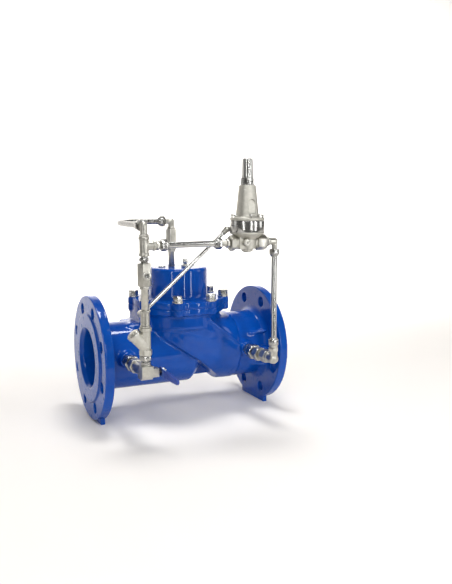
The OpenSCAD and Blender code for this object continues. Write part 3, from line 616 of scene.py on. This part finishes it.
def flange(name, facing):
    """One end flange with its raised face, bolt holes and hub fillet; facing is -1 or 1."""
    back = FLANGE_T - RAISED_T
    face = [(BORE_R, -RAISED_T + 7), (54, -RAISED_T), (RAISED_R, -RAISED_T), (RAISED_R, 0)]
    rim = [(FLANGE_R, 0), (FLANGE_R, back)]
    hub = arc(HUB_FILLET, 61 + HUB_FILLET, back + HUB_FILLET, 180, 270)[::-1]
    neck = [(BARREL_R, back + 14), (BORE_R, back + 14)]
    profile = face + rim + hub + neck
    bm = bmesh.new()
    add_ring(bm, profile, 160)
    obj = from_bmesh(name, bm)
    bm = bmesh.new()
    for i in range(FLANGE_BOLTS):
        hole = turned("Z", (i + 0.5) * 360 / FLANGE_BOLTS) @ moved(BOLT_CIRCLE_R, 0, 0)
        add_rod(bm, BOLT_HOLE_R, -10, back + 3, hole, 48)
    cut(obj, from_bmesh("flange_holes", bm))
    cast(obj, 1.3, 2)
    inward = ALONG_MINUS_X if facing > 0 else ALONG_X
    obj.data.transform(moved(facing * (HALF_LENGTH - RAISED_T), 0, 0) @ inward)
    stand_for(obj, "outlet_end" if facing > 0 else "inlet_end")
    return obj


def foot(name, low_x, node):
    """The small cast foot under one flange."""
    bm = bmesh.new()
    low, high = low_x + 0.8, low_x + 9.2
    add_prism(bm, [(low, -112), (high, -112), (high, -90), (low, -90)], -45, 45)
    obj = from_bmesh(name, bm)
    round_edges(obj, 1.4, 40, 3)
    stand_for(obj, node)
    return obj


# ---- Cover --------------------------------------------------------------------------------

DOME_R = 53.75
DOME_FILLET = 8
DOME_CORNER = 4.5


def cover_casting():
    """The cover: a lobed plate, and the dome over the spring with its stem guide inside."""
    bm = bmesh.new()
    add_lobed_plate(bm, JOINT_Z - 0.8, COVER_FACE)
    foot_r = DOME_R + DOME_FILLET
    base = [(0, COVER_FACE - 2), (foot_r, COVER_FACE - 2), (foot_r, COVER_FACE)]
    fillet = arc(DOME_FILLET, foot_r, COVER_FACE + DOME_FILLET, 180, 255)[::-1]
    corner = arc(DOME_CORNER, DOME_R - DOME_CORNER, DOME_TOP - DOME_CORNER, 0, 90)
    profile = base + fillet + corner + [(0, DOME_TOP)]
    add_lathe(bm, profile, steps=128)
    obj = from_bmesh("cover_casting", bm)
    cast(obj, 1.8, 0)
    bm = bmesh.new()
    recess = [(0, JOINT_Z - 5), (76, JOINT_Z - 5), (76, JOINT_Z + 1.5), (68, JOINT_Z + 1.5)]
    stem_guide = [(10.5, 147), (10.5, 110), (9.2, 110), (9.2, 147), (0, 147)]
    add_lathe(bm, recess + [(45, 97), (45, 147)] + stem_guide)
    cut(obj, from_bmesh("dome_inside", bm))
    cast(obj, 1.5, 5)
    stand_for(obj, "cover")
    return obj


# ---- Pilot --------------------------------------------------------------------------------

PILOT_SCREWS = 6


def pilot_bonnet():
    """The cast spring bonnet: a round flange with screw lugs, a cone and an arched recess."""
    low, top = 244, 301.3
    at = moved(PILOT_X, FRONT, 0)
    bm = bmesh.new()
    disc = [(0, low), (28.9, low), (28.9, low + 4), (23, low + 4.6)]
    cone = [(20.6, low + 6.5), (19.2, low + 9), (14, top), (0, top)]
    add_lathe(bm, disc + cone, at, 96)
    for i in range(PILOT_SCREWS):
        turn = at @ turned("Z", 15 + i * 360 / PILOT_SCREWS)
        add_rod(bm, 3.8, low, low + 6.8, turn @ moved(25.0, 0, 0), 32)
        add_block(bm, (17, -3.2, low), (25, 3.2, low + 6), turn)
    obj = from_bmesh("pilot_bonnet", bm)
    bm = bmesh.new()
    window = at @ turned("Z", 2)
    arch = [(-6.5, low + 10), (6.5, low + 10)] + arc(6.5, 0, low + 26, 0, 180, 20)
    tilt = moved(0, 0, low + 10) @ turned("X", -6) @ moved(0, 0, -low - 10)
    add_prism(bm, arch, -26, -16.2, window @ tilt)
    cut(obj, from_bmesh("bonnet_recess", bm))
    bm = bmesh.new()
    plate_pocket = [(0, low - 3), (20, low - 3), (20, low + 1.5)]
    spring_space = [(15.3, low + 1.5), (11.2, 298)]
    screw_hole = [(4.1, 298), (4.1, top + 3), (0, top + 3)]
    add_lathe(bm, plate_pocket + spring_space + screw_hole, at, 64)
    cut(obj, from_bmesh("bonnet_inside", bm))
    cast(obj, 0.5, 4)
    stand_for(obj, "pilot_bonnet")
    return obj


# ---- Fittings -----------------------------------------------------------------------------

CAST_FITTINGS = [
    "inlet_valve_body", "strainer_body", "sensing_tee", "supply_tee", "tube_elbows",
    "outlet_elbow", "sensing_fittings",
]
MACHINED = [
    "cover_bolts", "cover_washers", "dome_plugs", "branch_nipples", "branch_unions", "lever_nut",
    "riser_nipples", "strainer_cap", "riser_pipe", "isolation_body", "tube_adapters",
    "compression_nuts", "regulator_body", "dome_pipe_stub", "pilot_plugs",
    "pilot_ring", "pilot_screws", "pilot_lock_nut", "pilot_cap",
]


STRIP_NEAR = 24
STRIP_T = 2.6


def inlet_lever():
    """The flat steel strip of the ball valve's lever, with its dipped grip."""
    at = moved(RISER_X, FRONT, BRANCH_Z) @ turned("X", 8)
    bm = bmesh.new()
    far = STRIP_NEAR + STRIP_T
    add_rod(bm, 8, STRIP_NEAR, far, at @ ALONG_X, 48)
    add_block(bm, (STRIP_NEAR, -15, -7), (far, 0, 7), at)
    ends = ((-13, STRIP_NEAR, 7), (-24, STRIP_NEAR + 3, 6))
    step = [(x, y, z) for y, low, half in ends for x in (low, low + STRIP_T) for z in (-half, half)]
    add_hull(bm, step, at)
    obj = from_bmesh("inlet_lever_strip", bm)
    round_edges(obj, 0.5, 40, 2)
    stand_for(obj, "inlet_lever")
    bm = bmesh.new()
    points = []
    for x, y, reach in ((28.2, -20, 6.8), (31.0, -34, 5.8), (33.5, -50, 4.4)):
        for thick, share in ((-2.4, 0.8), (-1.5, 1.0), (1.5, 1.0), (2.4, 0.8)):
            points += circle(reach * share, (x + thick, y, 0), "X", 24)
    add_hull(bm, points, at)
    grip = from_bmesh("inlet_lever_grip", bm)
    round_edges(grip, 0.6, 25, 2)
    stand_for(grip, "inlet_lever")


def finish_fittings():
    """Softened copies of the cast fittings, and copies of the machined ones with round edges."""
    for node in CAST_FITTINGS:
        obj = cad_copy(node, node + "_cast")
        cast(obj, 0.5, 3)
        stand_for(obj, node)
    for node in MACHINED:
        obj = cad_copy(node, node + "_fine")
        round_edges(obj, 0.35, 32, 2)
        stand_for(obj, node)
    pilot = cad_copy("pilot_body", "pilot_body_cast")
    cast(pilot, 0.5, 4)
    stand_for(pilot, "pilot_body")


# ---- Setting ------------------------------------------------------------------------------

FLOOR_FRONT_Y = -0.75
WALL_Y = 2.5
WALL_HEIGHT = 4.0
SWEEP_R = 1.2
PAPER_HALF_WIDTH = 6
AIR_COLOUR = (1.0, 0.975, 0.94, 1)
AIR_STRENGTH = 0.10
VALVE_MIDDLE = Vector((MIDDLE_X * MM, 0, 0.08))
BACKDROP = Vector((1.5, 2.2, 0.3))
WALL_PANEL_SPREAD = 1.8
# Panels: place, what it is aimed at, width, height, watts.
PANELS = {
    "key_panel": ((-0.55, -1.55, 1.45), VALVE_MIDDLE, 0.7, 0.55, 13),
    "top_panel": ((0.30, 0.15, 1.70), VALVE_MIDDLE, 0.6, 0.4, 17.5),
    "right_panel": ((1.70, -0.60, 0.75), VALVE_MIDDLE, 0.5, 1.4, 5),
    "left_strip": ((-1.05, -1.20, 0.45), VALVE_MIDDLE, 0.08, 1.3, 4),
    "front_strip": ((0.25, -1.50, 0.45), VALVE_MIDDLE, 0.05, 1.3, 4),
    "right_strip": ((0.85, -1.25, 0.45), VALVE_MIDDLE, 0.08, 1.3, 5),
    "left_panel": ((-1.60, 0.60, 0.70), VALVE_MIDDLE, 0.7, 1.4, 3),
    "wall_panel": ((1.40, 0.90, 2.30), BACKDROP, 4.4, 0.8, 68),
}


def studio():
    """White paper that sweeps up into a wall, and the panels that light it and the valve."""
    floor_z = INLET_LOW.z
    bm = bmesh.new()
    sweep = arc(SWEEP_R, WALL_Y - SWEEP_R, SWEEP_R, 270, 360, 6)
    rows = [(FLOOR_FRONT_Y, 0.0)] + sweep + [(WALL_Y, WALL_HEIGHT)]
    half = PAPER_HALF_WIDTH
    lines = [[bm.verts.new((x, y, z + floor_z)) for x in (-half, half)] for y, z in rows]
    for near, far in zip(lines, lines[1:]):
        bm.faces.new([near[0], near[1], far[1], far[0]])
    floor = from_bmesh("studio_floor", bm)
    shade(floor, 60)
    s = Surface("studio_paper")
    s.set(Specular_IOR_Level=0.2)
    s.colour(s.tones(s.noise(3, 2, 0.5), (0.925, 0.895, 0.86), (0.935, 0.905, 0.87)))
    s.roughness(s.span(s.noise(60, 2, 0.5), 0.75, 0.85))
    s.bumps((s.noise(500, 2, 0.5), 0.05, 0.0002))
    floor.data.materials.append(s.material)

    world = bpy.data.worlds.new("studio_air")
    world.use_nodes = True
    air = world.node_tree.nodes["Background"]
    air.inputs["Color"].default_value = AIR_COLOUR
    air.inputs["Strength"].default_value = AIR_STRENGTH
    scene.world = world

    for name, (where, aim, width, height, power) in PANELS.items():
        light = bpy.data.lights.new(name, "AREA")
        light.shape = "RECTANGLE"
        light.size = width
        light.size_y = height
        light.energy = power
        if aim == BACKDROP:
            light.spread = WALL_PANEL_SPREAD
        obj = bpy.data.objects.new(name, light)
        obj.location = Vector(where)
        obj.rotation_euler = (aim - obj.location).to_track_quat("-Z", "Y").to_euler()
        scene.collection.objects.link(obj)


CAMERA_PLACE = (MIDDLE_X * MM - 0.4651, -1.1678, 0.2796)
CAMERA_DIP = 7.83
CAMERA_TURN = 25.77
SENSOR_WIDTH = 36
LENS = 54.14336


def camera():
    """Seen from before the inlet flange, looking a little down and along the flow."""
    data = bpy.data.cameras.new("studio_camera")
    data.sensor_width = SENSOR_WIDTH
    data.sensor_fit = "HORIZONTAL"
    data.lens = LENS
    data.clip_start = 0.05
    data.clip_end = 40
    obj = bpy.data.objects.new("studio_camera", data)
    obj.location = CAMERA_PLACE
    obj.rotation_euler = (math.radians(90 - CAMERA_DIP), 0, -math.radians(CAMERA_TURN))
    scene.collection.objects.link(obj)
    scene.camera = obj


def main():
    """Rebuilt castings and fittings, finishes for the CAD nodes that stay, and the studio."""
    body_casting()
    flange("inlet_flange", -1)
    flange("outlet_flange", 1)
    foot("inlet_foot", -HALF_LENGTH + 9, "inlet_end")
    foot("outlet_foot", HALF_LENGTH - 19, "outlet_end")
    cover_casting()
    pilot_bonnet()
    inlet_lever()
    finish_fittings()
    for node, obj in frame["nodes"].items():
        for i in range(len(obj.material_slots)):
            obj.material_slots[i].material = look_of(node)
    studio()
    camera()
    scene.view_settings.view_transform = "Standard"


main()
